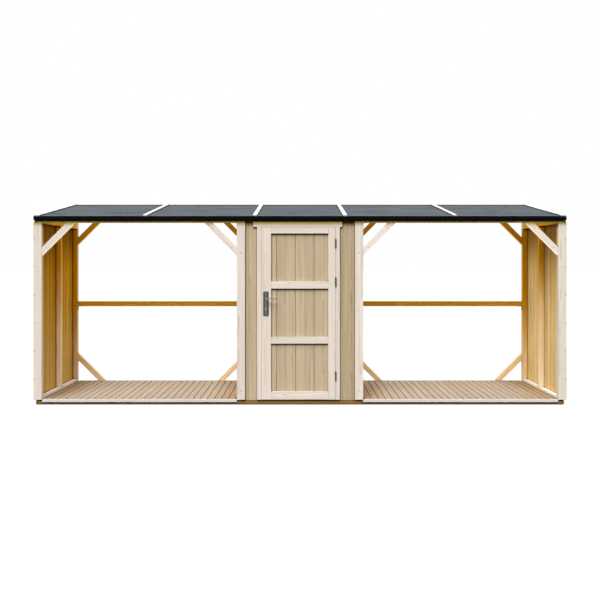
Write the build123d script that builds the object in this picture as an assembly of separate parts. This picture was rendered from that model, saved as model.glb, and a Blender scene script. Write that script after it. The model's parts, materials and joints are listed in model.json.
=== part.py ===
from build123d import *
import math
import os

os.makedirs("parts", exist_ok=True)

# Log store with an open bay each side of a closed cupboard, under one sloping roof.
# Millimetres, +Z up, +X to the right, the front faces -Y.
# The origin is under the middle of the whole object, at ground level.

# Overall sizes
WIDTH = 5500.0
WALL_DEPTH = 1100.0
ROOF_HALF = 2742.0
FRONT_EDGE_TOP = 1944.0
BACK_EDGE_TOP = 2160.0

# Timber sections
POST_FACE = 58.0
POST_DEEP = 28.0
COVER_FACE = 86.0
COVER_DEEP = 17.0
RAIL_DEEP = POST_DEEP + COVER_DEEP
RAIL_TALL = 58.0
STUD_DEEP = 45.0
PLATE_TALL = 45.0
CLADDING = 16.0
CORNER_BOARD = 12.0
BOARD_COVER = 97.5
GROOVE_DEEP = 4.0

# Base
BEARER_TALL = 34.0
BEARER_DEEP = 58.0
BEARER_HALF = 2730.0
DECK_THICK = 20.7
DECK_BOARD = 67.5
DECK_PITCH = 73.4
COVER_BOTTOM = 48.0
CLADDING_BOTTOM = 40.0
EDGE_STRIP_BOTTOM = 22.7
EDGE_STRIP_TOP = 53.6
EDGE_STRIP_THICK = 12.0

# Walls, each placed by the X of its face that looks towards the middle
END_INNER = WIDTH / 2 - COVER_FACE
HEADER_HALF = END_INNER + POST_FACE
CUPBOARD_HALF = 652.0
CUPBOARD_INNER = CUPBOARD_HALF - COVER_FACE
PLATE_UNDERSIDE = 1875.0
BACK_UNDERSIDE = 2017.0
RISER_DEEP = 63.0
CORNER_STUD = 28.0
BACK_RAIL_HEIGHTS = [680.0, 1330.0]

# Bracing between the posts and the rails
BRACE_LEG = 336.0
BRACE_FACE = 58.0
MID_RAIL_LOW = 947.0
MID_RAIL_TALL = 59.0
BRACKET_LEG = 50.0
BRACKET_WIDE = 30.0
BRACKET_THICK = 2.5

# Roof
ROOF_BOARD = 16.0
FELT = 3.0
FELT_UPSTAND = 11.0
BATTEN_TALL = 17.0
# Left and right edge of each batten
BATTENS = [
    (-ROOF_HALF, -2684.0),
    (-1621.5, -1576.5),
    (-487.5, -442.5),
    (442.5, 487.5),
    (1576.5, 1621.5),
    (2684.0, ROOF_HALF),
]
FASCIA_THICK = 20.0
FASCIA_TALL = 40.0
FRONT_FASCIA_TOP = 1942.0
BACK_FASCIA_TOP = 2167.0
RAFTER_WIDE = 45.0
RAFTER_DEEP = 56.0
RAFTER_FOOT = 30.0
RAFTER_X = [-1600.0, 0.0, 1600.0]

# Door and its frame
FRAME_LEFT = -443.0
FRAME_RIGHT = 412.0
JAMB_FACE = 42.0
JAMB_DEEP = 60.0
STOP_FACE = 12.0
STOP_DEEP = 20.0
HINGE_GAP = 5.0
LOCK_GAP = 6.5
DOOR_TOP = 1824.0
HEAD_BOTTOM = 1830.0
TRIM_LEFT = -484.0
TRIM_RIGHT = 436.0
TRIM_TOP = 1887.0
BOARD_END_GAP = 1.0
STILE_DEEP = 18.0
DOOR_BOARD_DEEP = 16.0
LOCK_STILE = 97.0
HINGE_STILE = 74.0
DOOR_JOINT_AT = -47.5
# Lower and upper edge of each rail, from the bottom rail up
RAIL_EDGES = [(49.5, 134.0), (627.0, 698.0), (1194.0, 1273.0), (1763.0, DOOR_TOP)]

# Hinges
HINGE_LOWS = [247.0, 1217.0, 1614.0]
HINGE_TALL = 93.0
KNUCKLES = 5
KNUCKLE_R = 6.0
KNUCKLE_GAP = 0.5
PIN_R = 3.0
PIN_PLAY = 0.1
PIN_HEAD_R = 4.5
PIN_HEAD_TALL = 2.0
FLAP_THICK = 2.0
FLAP_DEEP = 30.0

# Handle
HANDLE_X = -352.0
HANDLE_PLATE_WIDE = 52.0
HANDLE_PLATE_LOW = 918.0
HANDLE_PLATE_HIGH = 1165.0
HANDLE_PLATE_THICK = 8.0
HANDLE_PLATE_CORNER = 8.0
HANDLE_PLATE_BEVEL = 2.0
LEVER_Z = 1093.0
LEVER_LONG = 120.0
LEVER_OUT = 58.0
LEVER_THICK = 11.0
LEVER_TALL = 13.0
LEVER_BEND = 14.0
NECK_R = 8.0
NECK_PLAY = 0.6
SPINDLE_HALF = 4.0
SPINDLE_HOLE_R = 7.0
CYLINDER_Z = 995.0
CYLINDER_R = 8.5
CYLINDER_NARROW = 10.0
CYLINDER_TALL = 33.0
CYLINDER_PROUD = 3.0

# Depth is measured from the front face of the cover boards and runs back
BACK_REACH = WALL_DEPTH + FASCIA_THICK
FRONT_Y = (LEVER_OUT - BACK_REACH) / 2
BACK_FRAME = WALL_DEPTH - RAIL_DEEP
BACK_COVER = WALL_DEPTH - COVER_DEEP
DECK_TOP = BEARER_TALL + DECK_THICK
ROOF_SLOPE = (BACK_EDGE_TOP - FRONT_EDGE_TOP) / WALL_DEPTH
RAFTER_DROP = RAFTER_DEEP * math.sqrt(1 + ROOF_SLOPE**2)

DOOR_LEFT = FRAME_LEFT + JAMB_FACE + LOCK_GAP
DOOR_RIGHT = FRAME_RIGHT - JAMB_FACE - HINGE_GAP
DOOR_BOTTOM = RAIL_EDGES[0][0]
DOOR_DEEP = STILE_DEEP + DOOR_BOARD_DEEP
HINGE_X = DOOR_RIGHT + HINGE_GAP / 2
HINGE_D = -KNUCKLE_R

pieces = {}


def keep(name, shapes):
    """Adds a piece, or several like pieces that don't touch, under one name."""
    pieces[name] = Compound([solid for shape in shapes for solid in shape.solids()])
    pieces[name].label = name


def box(x0, x1, d0, d1, z0, z1):
    """A block between two places along X, two depths and two heights."""
    centre = ((x0 + x1) / 2, FRONT_Y + (d0 + d1) / 2, (z0 + z1) / 2)
    return Pos(*centre) * Box(x1 - x0, d1 - d0, z1 - z0)


def side_profile(points, x0, x1):
    """An outline of (depth, height) points, seen from the side and carried from x0 to x1."""
    outline = Polyline([(FRONT_Y + d, z) for d, z in points], close=True)
    return Pos(x0, 0, 0) * extrude(Plane.YZ * make_face(outline), amount=x1 - x0)


def front_plane(d):
    """An upright plane at a depth, whose second direction runs down."""
    return Plane(origin=(0, FRONT_Y + d, 0), x_dir=(1, 0, 0), z_dir=(0, 1, 0))


def front_profile(points, d0, d1):
    """An outline of (X, height) points, seen from the front and carried back."""
    outline = Polyline([(x, -z) for x, z in points], close=True)
    return extrude(front_plane(d0) * make_face(outline), amount=d1 - d0)


def plan_profile(points, z0, z1):
    """An outline of (X, depth) points, seen from above and carried up."""
    outline = Polyline([(x, FRONT_Y + d) for x, d in points], close=True)
    return extrude(Plane.XY.offset(z0) * make_face(outline), amount=z1 - z0)


def round_bar(x, z, radius, d0, d1):
    """A round bar that runs front to back."""
    centre = (x, FRONT_Y + (d0 + d1) / 2, z)
    return Pos(*centre) * Rot(90, 0, 0) * Cylinder(radius, d1 - d0)


def either_side(low, high, side):
    """A range of X given for the right-hand side, on the side asked for."""
    return (low, high) if side > 0 else (-high, -low)


def felt_top(d):
    """Height of the top of the roof covering at a depth."""
    return FRONT_EDGE_TOP + ROOF_SLOPE * d


def boards_top(d):
    return felt_top(d) - FELT


def boards_under(d):
    return felt_top(d) - FELT - ROOF_BOARD


def grooved_outline(a0, a1, joints, b0, b1):
    """Tongued boards in section: a long rectangle with a V at each joint on both faces."""
    points = [(a0, b0)]
    for a in joints:
        points += [(a - GROOVE_DEEP, b0), (a, b0 + GROOVE_DEEP), (a + GROOVE_DEEP, b0)]
    points += [(a1, b0), (a1, b1)]
    for a in reversed(joints):
        points += [(a + GROOVE_DEEP, b1), (a, b1 - GROOVE_DEEP), (a - GROOVE_DEEP, b1)]
    return points + [(a0, b1)]


def joints_between(a0, a1, joint_at):
    """Places of the board joints between two edges, stepping from a known joint."""
    least = math.ceil((a0 + 2 * GROOVE_DEEP - joint_at) / BOARD_COVER)
    most = math.floor((a1 - 2 * GROOVE_DEEP - joint_at) / BOARD_COVER)
    return [joint_at + BOARD_COVER * i for i in range(least, most + 1)]


def grooved_panel(x0, x1, joint_at, d0, d1, z0, z1):
    """A panel of upright boards that faces the front."""
    outline = grooved_outline(x0, x1, joints_between(x0, x1, joint_at), d0, d1)
    return plan_profile(outline, z0, z1)


# Base: three bearers along the whole length, deck boards across them with open gaps, and
# the pale strip that closes the front ends of the deck boards in each bay.

def bearers():
    half = BEARER_DEEP / 2
    centres = [COVER_DEEP + half, WALL_DEPTH / 2, BACK_COVER - half]
    return [box(-BEARER_HALF, BEARER_HALF, c - half, c + half, 0, BEARER_TALL) for c in centres]


def deck_boards(x0, x1, d0, d1):
    gap = DECK_PITCH - DECK_BOARD
    count = int((x1 - x0 + gap) // DECK_PITCH)
    first = (x0 + x1 - count * DECK_PITCH + gap) / 2
    lefts = [first + i * DECK_PITCH for i in range(count)]
    return [box(x, x + DECK_BOARD, d0, d1, BEARER_TALL, DECK_TOP) for x in lefts]


keep("bearers", bearers())
edge_strips = []
for side, word in ((-1, "left"), (1, "right")):
    x0, x1 = either_side(CUPBOARD_HALF, END_INNER, side)
    keep(f"deck_boards_{word}", deck_boards(x0, x1, COVER_DEEP, BACK_COVER))
    strip_front = COVER_DEEP - EDGE_STRIP_THICK
    strip = box(x0, x1, strip_front, COVER_DEEP, EDGE_STRIP_BOTTOM, EDGE_STRIP_TOP)
    edge_strips.append(strip)
keep("deck_edge_strips", edge_strips)
keep("deck_boards_cupboard", deck_boards(-CUPBOARD_INNER, CUPBOARD_INNER, JAMB_DEEP + 1, BACK_FRAME))


# Long rails under the roof, in the plane of the cover boards, bevelled on top to the slope.
# The front one is housed out where the boards of the cupboard run up in front of it.

def header(d0, d1, underside):
    points = [(d0, underside), (d1, underside), (d1, boards_under(d1)), (d0, boards_under(d0))]
    return side_profile(points, -HEADER_HALF, HEADER_HALF)


front_header = header(0, RAIL_DEEP, PLATE_UNDERSIDE) - box(
    -CUPBOARD_INNER, CUPBOARD_INNER, -1, COVER_DEEP + CLADDING, PLATE_UNDERSIDE - 1, BACK_EDGE_TOP
)
back_header = header(BACK_FRAME, WALL_DEPTH, BACK_UNDERSIDE)
keep("front_header", [front_header])
keep("back_header", [back_header])


# Four cross walls, built alike: two at the ends and two beside the cupboard. Each has a
# front post, a stud and a back post, a sole plate and a top plate, upright boards outside
# them, and a rafter that follows the roof.

def wall_posts(inner, side):
    x0, x1 = either_side(inner, inner + POST_FACE, side)
    stud_front = (WALL_DEPTH - STUD_DEEP) / 2
    sole_top = BEARER_TALL + PLATE_TALL
    return [
        box(x0, x1, COVER_DEEP, RAIL_DEEP, BEARER_TALL, PLATE_UNDERSIDE),
        box(x0, x1, stud_front, stud_front + STUD_DEEP, sole_top, PLATE_UNDERSIDE),
        box(x0, x1, BACK_FRAME, BACK_COVER, BEARER_TALL, PLATE_UNDERSIDE),
    ]


def wall_plates(inner, side):
    x0, x1 = either_side(inner, inner + POST_FACE, side)
    riser_front = BACK_COVER - RISER_DEEP
    plate_top = PLATE_UNDERSIDE + RAIL_TALL
    return [
        box(x0, x1, RAIL_DEEP, BACK_FRAME, BEARER_TALL, BEARER_TALL + PLATE_TALL),
        box(x0, x1, RAIL_DEEP, riser_front, PLATE_UNDERSIDE, plate_top),
    ]


def wall_riser(inner, side):
    """The block on the back post that lifts the back rail above the top plate."""
    x0, x1 = either_side(inner, inner + POST_FACE, side)
    return box(x0, x1, BACK_COVER - RISER_DEEP, BACK_COVER, PLATE_UNDERSIDE, BACK_UNDERSIDE)


def wall_rafter(inner, side):
    """A rafter whose foot is cut level where it sits on the top plate."""
    x0, x1 = either_side(inner, inner + POST_FACE, side)
    seat = PLATE_UNDERSIDE + RAIL_TALL
    foot = RAIL_DEEP + RAFTER_FOOT
    lift_off = foot + (RAFTER_DROP + seat - boards_under(foot)) / ROOF_SLOPE
    points = [
        (foot, seat),
        (lift_off, seat),
        (BACK_FRAME, boards_under(BACK_FRAME) - RAFTER_DROP),
        (BACK_FRAME, boards_under(BACK_FRAME)),
        (foot, boards_under(foot)),
    ]
    return side_profile(points, x0, x1)


def wall_boards(inner, side):
    """The upright boards outside the posts, cut off along the slope of the roof."""
    near = inner + POST_FACE
    joints = joints_between(COVER_DEEP, BACK_COVER, WALL_DEPTH / 2)
    section = grooved_outline(COVER_DEEP, BACK_COVER, joints, near, near + CLADDING)
    boards = plan_profile([(x * side, d) for d, x in section], CLADDING_BOTTOM, BACK_EDGE_TOP)
    top = [
        (COVER_DEEP, 0),
        (BACK_COVER, 0),
        (BACK_COVER, boards_under(BACK_COVER)),
        (COVER_DEEP, boards_under(COVER_DEEP)),
    ]
    return boards & side_profile(top, -WIDTH / 2, WIDTH / 2)


def corner_boards(inner, side):
    """The two upright boards on the outer face of a cross wall, front and back."""
    near = inner + POST_FACE + CLADDING
    x0, x1 = either_side(near, near + CORNER_BOARD, side)
    boards = []
    for d0, d1 in ((COVER_DEEP, COVER_FACE), (WALL_DEPTH - COVER_FACE, BACK_COVER)):
        points = [
            (d0, COVER_BOTTOM),
            (d1, COVER_BOTTOM),
            (d1, boards_under(d1)),
            (d0, boards_under(d0)),
        ]
        boards.append(side_profile(points, x0, x1))
    return boards


corners = []
risers = []
rafters = []
for place, inner in (("end", END_INNER), ("cupboard", CUPBOARD_INNER)):
    posts = []
    plates = []
    for side, word in ((-1, "left"), (1, "right")):
        posts += wall_posts(inner, side)
        plates += wall_plates(inner, side)
        risers.append(wall_riser(inner, side))
        rafters.append(wall_rafter(inner, side))
        clad = wall_boards(inner, side)
        trims = corner_boards(inner, side)
        if place == "cupboard":
            clad = clad - front_header - back_header
            trims = [trim - front_header - back_header for trim in trims]
        keep(f"{place}_wall_boards_{word}", [clad])
        corners += trims
    keep(f"{place}_wall_posts", posts)
    keep(f"{place}_wall_plates", plates)
keep("corner_boards", corners)
keep("back_risers", risers)


# Cover boards on the posts, front and back. The headers lie in the same plane, so the
# cover boards stop under them.

def cover_boards(d0, d1, top):
    boards = []
    for inner in (END_INNER, CUPBOARD_INNER):
        for side in (-1, 1):
            x0, x1 = either_side(inner, inner + COVER_FACE, side)
            boards.append(box(x0, x1, d0, d1, COVER_BOTTOM, top))
    return boards


keep("front_cover_boards", cover_boards(0, COVER_DEEP, PLATE_UNDERSIDE))
keep("back_cover_boards", cover_boards(BACK_COVER, WALL_DEPTH, BACK_UNDERSIDE))


# Bracing of the open bays: one rail across the back of each, and 45 degree braces in the
# upper front, upper back and lower back corners, with small steel angles at the joints.

def brace(x_corner, z_corner, inward, upward, d0):
    """A straight brace with both ends cut flat against post and rail. The corner is where
    post and rail meet; inward is the way along X into the bay and upward is +1 or -1."""
    short = BRACE_LEG - BRACE_FACE * math.sqrt(2)
    points = [
        (x_corner, z_corner + upward * BRACE_LEG),
        (x_corner + inward * BRACE_LEG, z_corner),
        (x_corner + inward * short, z_corner),
        (x_corner, z_corner + upward * short),
    ]
    return front_profile(points, d0, d0 + RAIL_DEEP)


def angle_bracket(x_corner, z_corner, inward, middle):
    """A bent steel angle under a rail, with its other leg down the post."""
    points = [
        (x_corner, z_corner),
        (x_corner + inward * BRACKET_LEG, z_corner),
        (x_corner + inward * BRACKET_LEG, z_corner - BRACKET_THICK),
        (x_corner + inward * BRACKET_THICK, z_corner - BRACKET_THICK),
        (x_corner + inward * BRACKET_THICK, z_corner - BRACKET_LEG),
        (x_corner, z_corner - BRACKET_LEG),
    ]
    return front_profile(points, middle - BRACKET_WIDE / 2, middle + BRACKET_WIDE / 2)


front_braces = []
back_braces = []
mid_rails = []
brackets = []
for side in (-1, 1):
    for x, inward in ((END_INNER * side, -side), (CUPBOARD_HALF * side, side)):
        front_braces.append(brace(x, PLATE_UNDERSIDE, inward, -1, 0))
        back_braces.append(brace(x, BACK_UNDERSIDE, inward, -1, BACK_FRAME))
        back_braces.append(brace(x, DECK_TOP, inward, 1, BACK_FRAME))
        brackets.append(angle_bracket(x, PLATE_UNDERSIDE, inward, RAIL_DEEP / 2))
        brackets.append(angle_bracket(x, MID_RAIL_LOW, inward, WALL_DEPTH - RAIL_DEEP / 2))
    x0, x1 = either_side(CUPBOARD_HALF, END_INNER, side)
    rail = box(x0, x1, BACK_FRAME, WALL_DEPTH, MID_RAIL_LOW, MID_RAIL_LOW + MID_RAIL_TALL)
    mid_rails.append(rail)
keep("front_braces", front_braces)
keep("back_braces", back_braces)
keep("back_mid_rails", mid_rails)
keep("angle_brackets", brackets)


# Cupboard: upright boards beside the door and across the back, on their own studs.

front_studs = [
    box(-CUPBOARD_INNER, CORNER_STUD - CUPBOARD_INNER, COVER_DEEP + CLADDING, JAMB_DEEP + 1,
        BEARER_TALL, PLATE_UNDERSIDE),
    box(FRAME_LEFT - STUD_DEEP, FRAME_LEFT, COVER_DEEP + CLADDING, JAMB_DEEP + 1,
        BEARER_TALL, PLATE_UNDERSIDE),
    box(FRAME_RIGHT, FRAME_RIGHT + STUD_DEEP, COVER_DEEP + CLADDING, JAMB_DEEP + 1,
        BEARER_TALL, PLATE_UNDERSIDE),
    box(CUPBOARD_INNER - CORNER_STUD, CUPBOARD_INNER, COVER_DEEP + CLADDING, JAMB_DEEP + 1,
        BEARER_TALL, PLATE_UNDERSIDE),
]
front_left_boards = grooved_panel(
    -CUPBOARD_INNER, FRAME_LEFT, DOOR_JOINT_AT, COVER_DEEP, COVER_DEEP + CLADDING,
    CLADDING_BOTTOM, boards_under(COVER_DEEP),
)
front_right_boards = grooved_panel(
    FRAME_RIGHT, CUPBOARD_INNER, DOOR_JOINT_AT, COVER_DEEP, COVER_DEEP + CLADDING,
    CLADDING_BOTTOM, boards_under(COVER_DEEP),
)
boards_over_door = grooved_panel(
    FRAME_LEFT + BOARD_END_GAP, FRAME_RIGHT - BOARD_END_GAP, DOOR_JOINT_AT,
    COVER_DEEP, COVER_DEEP + CLADDING, PLATE_UNDERSIDE, boards_under(COVER_DEEP),
)
back_boards = grooved_panel(
    -CUPBOARD_INNER, CUPBOARD_INNER, DOOR_JOINT_AT, BACK_COVER - CLADDING, BACK_COVER,
    CLADDING_BOTTOM, BACK_UNDERSIDE,
)
back_rails = [
    box(-CUPBOARD_INNER, CUPBOARD_INNER, BACK_COVER - CLADDING - POST_DEEP, BACK_COVER - CLADDING,
        z, z + PLATE_TALL)
    for z in BACK_RAIL_HEIGHTS
]
keep("cupboard_front_studs", front_studs)
keep("cupboard_front_boards", [front_left_boards, front_right_boards, boards_over_door])
keep("cupboard_back_boards", [back_boards])
keep("cupboard_back_rails", back_rails)


# Door frame: rebated jambs and head, and the wider board across the top, in front of the
# head and level with the jambs.

def jamb(outer, inward):
    """A jamb in plan, with the rebate that the door closes against."""
    inner = outer + inward * JAMB_FACE
    stop = inner + inward * STOP_FACE
    rebate = JAMB_DEEP - STOP_DEEP
    points = [
        (outer, 0),
        (inner, 0),
        (inner, rebate),
        (stop, rebate),
        (stop, JAMB_DEEP),
        (outer, JAMB_DEEP),
    ]
    return plan_profile(points, COVER_BOTTOM, HEAD_BOTTOM)


head_rail = box(FRAME_LEFT, FRAME_RIGHT, COVER_DEEP, JAMB_DEEP, HEAD_BOTTOM, PLATE_UNDERSIDE)
head_stop = box(
    FRAME_LEFT + JAMB_FACE + STOP_FACE, FRAME_RIGHT - JAMB_FACE - STOP_FACE,
    JAMB_DEEP - STOP_DEEP, JAMB_DEEP, HEAD_BOTTOM - STOP_FACE, HEAD_BOTTOM,
)
keep("door_jambs", [jamb(FRAME_LEFT, 1), jamb(FRAME_RIGHT, -1)])
keep("door_head", [head_rail + head_stop])
keep("door_top_trim", [box(TRIM_LEFT, TRIM_RIGHT, 0, COVER_DEEP, HEAD_BOTTOM, TRIM_TOP)])


# Door leaf: upright boards with stiles and rails on their front face. The handle's spindle
# and the lock cylinder pass right through.

def cylinder_profile(d0, d1):
    """The keyhole outline of a lock cylinder: a circle with a narrow round-ended tail."""
    tail_r = CYLINDER_NARROW / 2
    tail_low = CYLINDER_Z + CYLINDER_R - CYLINDER_TALL + tail_r
    shape = round_bar(HANDLE_X, CYLINDER_Z, CYLINDER_R, d0, d1)
    shape = shape + round_bar(HANDLE_X, tail_low, tail_r, d0, d1)
    return shape + box(HANDLE_X - tail_r, HANDLE_X + tail_r, d0, d1, tail_low, CYLINDER_Z)


lock_cylinder = cylinder_profile(
    -HANDLE_PLATE_THICK - CYLINDER_PROUD, DOOR_DEEP + HANDLE_PLATE_THICK + CYLINDER_PROUD
)
spindle_hole = round_bar(HANDLE_X, LEVER_Z, SPINDLE_HOLE_R, 0, DOOR_DEEP)
door_boards = grooved_panel(
    DOOR_LEFT, DOOR_RIGHT, DOOR_JOINT_AT, STILE_DEEP, DOOR_DEEP, DOOR_BOTTOM, DOOR_TOP
)
lock_stile = box(DOOR_LEFT, DOOR_LEFT + LOCK_STILE, 0, STILE_DEEP, DOOR_BOTTOM, DOOR_TOP)
hinge_stile = box(DOOR_RIGHT - HINGE_STILE, DOOR_RIGHT, 0, STILE_DEEP, DOOR_BOTTOM, DOOR_TOP)
door_rails = [
    box(DOOR_LEFT + LOCK_STILE, DOOR_RIGHT - HINGE_STILE, 0, STILE_DEEP, low, high)
    for low, high in RAIL_EDGES
]
keep("door_boards", [door_boards - spindle_hole - lock_cylinder])
keep("door_stiles", [lock_stile - spindle_hole - lock_cylinder, hinge_stile])
keep("door_rails", door_rails)
keep("lock_cylinder", [lock_cylinder])


# Hinges: five interleaved knuckles on one pin, three on the frame and two on the door.

def hinge_half(low, first, x0, x1):
    """The flap in the joint between door and frame, with every second knuckle from the
    first one given, bored for the pin."""
    tall = (HINGE_TALL - KNUCKLE_GAP * (KNUCKLES - 1)) / KNUCKLES
    half = box(x0, x1, KNUCKLE_GAP, FLAP_DEEP, low, low + HINGE_TALL)
    for i in range(first, KNUCKLES, 2):
        base = low + i * (tall + KNUCKLE_GAP)
        centre = (HINGE_X, FRONT_Y + HINGE_D, base + tall / 2)
        half = half + box(x0, x1, HINGE_D, KNUCKLE_GAP, base, base + tall)
        half = half + Pos(*centre) * Cylinder(KNUCKLE_R, tall)
    bore = Pos(HINGE_X, FRONT_Y + HINGE_D, low + HINGE_TALL / 2)
    return half - bore * Cylinder(PIN_R + PIN_PLAY, HINGE_TALL)


def hinge_pin(low):
    centre = (HINGE_X, FRONT_Y + HINGE_D)
    pin = Pos(*centre, low + HINGE_TALL / 2) * Cylinder(PIN_R, HINGE_TALL)
    for z in (low - PIN_HEAD_TALL / 2, low + HINGE_TALL + PIN_HEAD_TALL / 2):
        pin = pin + Pos(*centre, z) * Cylinder(PIN_HEAD_R, PIN_HEAD_TALL)
    return pin


flap_fixed = (HINGE_X + HINGE_GAP / 2 - FLAP_THICK, HINGE_X + HINGE_GAP / 2)
flap_moving = (DOOR_RIGHT, DOOR_RIGHT + FLAP_THICK)
keep("hinges_on_frame", [hinge_half(low, 0, *flap_fixed) for low in HINGE_LOWS])
keep("hinges_on_door", [hinge_half(low, 1, *flap_moving) for low in HINGE_LOWS])
keep("hinge_pins", [hinge_pin(low) for low in HINGE_LOWS])


# Handle: a long plate each side of the door, and a bent lever each side on a square spindle.

def handle_plate(d0, d1, outer):
    """A plate with rounded corners and a bevelled outer edge; outer is the depth it shows at."""
    middle = (HANDLE_PLATE_LOW + HANDLE_PLATE_HIGH) / 2
    tall = HANDLE_PLATE_HIGH - HANDLE_PLATE_LOW
    outline = RectangleRounded(HANDLE_PLATE_WIDE, tall, HANDLE_PLATE_CORNER)
    plate = extrude(front_plane(d0) * Pos(HANDLE_X, -middle) * outline, amount=d1 - d0)
    shown = [edge for edge in plate.edges() if abs(edge.center().Y - FRONT_Y - outer) < 0.01]
    plate = chamfer(shown, HANDLE_PLATE_BEVEL)
    neck_hole = round_bar(HANDLE_X, LEVER_Z, NECK_R + NECK_PLAY, d0 - 1, d1 + 1)
    return plate - neck_hole - lock_cylinder


def lever(face, outward):
    """A round neck that comes out of the plate, and a flat bar that bends from it towards the
    hinges: a bent outline seen from above, rounded at its tip as seen from the front."""
    tip = HANDLE_X + LEVER_LONG
    heel = HANDLE_X - NECK_R
    near = face + outward * (LEVER_OUT - LEVER_THICK)
    far = face + outward * LEVER_OUT
    neck_end = near - outward * LEVER_BEND
    neck = round_bar(HANDLE_X, LEVER_Z, NECK_R, *sorted((face + outward, neck_end)))
    outline = Polyline(
        [
            (heel, FRONT_Y + neck_end),
            (heel, FRONT_Y + far),
            (tip, FRONT_Y + far),
            (tip, FRONT_Y + near),
            (heel + LEVER_THICK + LEVER_BEND, FRONT_Y + near),
            (heel + 2 * NECK_R, FRONT_Y + neck_end),
        ],
        close=True,
    )
    plan = make_face(outline)
    elbow = [corner for corner in plan.vertices() if is_at(corner, heel, far)]
    plan = fillet(elbow, LEVER_BEND)
    bar = extrude(Plane.XY.offset(LEVER_Z - LEVER_TALL / 2) * plan, amount=LEVER_TALL)
    round_tip = front_plane(min(neck_end, far) - 1) * Pos((heel + tip) / 2, -LEVER_Z)
    slot = extrude(round_tip * SlotOverall(tip - heel, LEVER_TALL), amount=LEVER_OUT)
    return neck + (bar & slot)


def is_at(corner, x, d):
    return abs(corner.X - x) < 0.01 and abs(corner.Y - FRONT_Y - d) < 0.01


front_plate = handle_plate(-HANDLE_PLATE_THICK, 0, -HANDLE_PLATE_THICK)
back_plate = handle_plate(DOOR_DEEP, DOOR_DEEP + HANDLE_PLATE_THICK, DOOR_DEEP + HANDLE_PLATE_THICK)
spindle = box(
    HANDLE_X - SPINDLE_HALF, HANDLE_X + SPINDLE_HALF, -1, DOOR_DEEP + 1,
    LEVER_Z - SPINDLE_HALF, LEVER_Z + SPINDLE_HALF,
)
keep("handle_plates", [front_plate, back_plate])
keep("lever_handles", [lever(0, -1), lever(DOOR_DEEP, 1)])
keep("spindle", [spindle])


# Roof: rafters, one sheet of boards, felt in strips with its edges turned up against the
# battens that hold it, and the dark boards that close the front and back edges.

def sloping_slab(x0, x1, d0, d1, lift0, lift1):
    """A slab that follows the roof, between two heights above the boards' top face."""
    points = [
        (d0, boards_top(d0) + lift0),
        (d1, boards_top(d1) + lift0),
        (d1, boards_top(d1) + lift1),
        (d0, boards_top(d0) + lift1),
    ]
    return side_profile(points, x0, x1)


def felt_strip(left_batten, right_batten):
    """A strip of felt between two battens, turned up against both."""
    x0 = left_batten[1]
    x1 = right_batten[0]
    strip = sloping_slab(x0, x1, 0, WALL_DEPTH, 0, FELT)
    strip = strip + sloping_slab(x0, x0 + FELT, 0, WALL_DEPTH, 0, FELT + FELT_UPSTAND)
    return strip + sloping_slab(x1 - FELT, x1, 0, WALL_DEPTH, 0, FELT + FELT_UPSTAND)


def fascia(d0, top):
    return box(-ROOF_HALF, ROOF_HALF, d0, d0 + FASCIA_THICK, top - FASCIA_TALL, top)


for x in RAFTER_X:
    half = RAFTER_WIDE / 2
    low = -ROOF_BOARD - RAFTER_DROP
    rafters.append(sloping_slab(x - half, x + half, RAIL_DEEP, BACK_FRAME, low, -ROOF_BOARD))
felt_strips = [felt_strip(a, b) for a, b in zip(BATTENS, BATTENS[1:])]
battens = [sloping_slab(x0, x1, 0, WALL_DEPTH, 0, BATTEN_TALL) for x0, x1 in BATTENS]
roof_boards = sloping_slab(-ROOF_HALF, ROOF_HALF, 0, WALL_DEPTH, -ROOF_BOARD, 0)
keep("rafters", rafters)
keep("roof_boards", [roof_boards])
keep("roof_felt", felt_strips)
keep("roof_battens", battens)
keep("fascias", [fascia(-FASCIA_THICK, FRONT_FASCIA_TOP), fascia(WALL_DEPTH, BACK_FASCIA_TOP)])


for name, piece in pieces.items():
    export_step(piece, f"parts/{name}.step")
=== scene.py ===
import json
import math

import bpy
import numpy as np
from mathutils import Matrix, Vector

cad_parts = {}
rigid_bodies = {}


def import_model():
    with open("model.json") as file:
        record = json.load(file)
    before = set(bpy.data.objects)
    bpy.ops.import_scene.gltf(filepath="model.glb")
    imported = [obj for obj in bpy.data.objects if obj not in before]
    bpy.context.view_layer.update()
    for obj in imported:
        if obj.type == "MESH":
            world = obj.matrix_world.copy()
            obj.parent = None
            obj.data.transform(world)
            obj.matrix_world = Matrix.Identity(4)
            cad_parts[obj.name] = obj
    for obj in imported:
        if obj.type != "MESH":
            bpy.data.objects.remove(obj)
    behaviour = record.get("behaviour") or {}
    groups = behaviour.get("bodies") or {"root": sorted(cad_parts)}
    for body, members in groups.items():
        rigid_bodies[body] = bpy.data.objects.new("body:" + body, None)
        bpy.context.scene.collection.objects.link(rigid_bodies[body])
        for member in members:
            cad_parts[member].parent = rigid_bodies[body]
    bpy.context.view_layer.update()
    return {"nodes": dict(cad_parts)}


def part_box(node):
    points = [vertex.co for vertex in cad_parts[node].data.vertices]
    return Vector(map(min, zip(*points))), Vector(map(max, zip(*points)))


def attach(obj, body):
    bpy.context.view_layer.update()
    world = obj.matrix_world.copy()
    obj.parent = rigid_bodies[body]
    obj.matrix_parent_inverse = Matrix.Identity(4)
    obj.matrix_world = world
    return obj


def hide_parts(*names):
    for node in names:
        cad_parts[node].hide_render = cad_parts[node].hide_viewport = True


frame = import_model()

nodes = frame["nodes"]
lot = np.random.default_rng(27)


# Bearers: three lengths of pressure-treated softwood that lie on the ground and carry the
# rest, which is fixed down to them. They are sawn square, with the edges just taken off.

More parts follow.
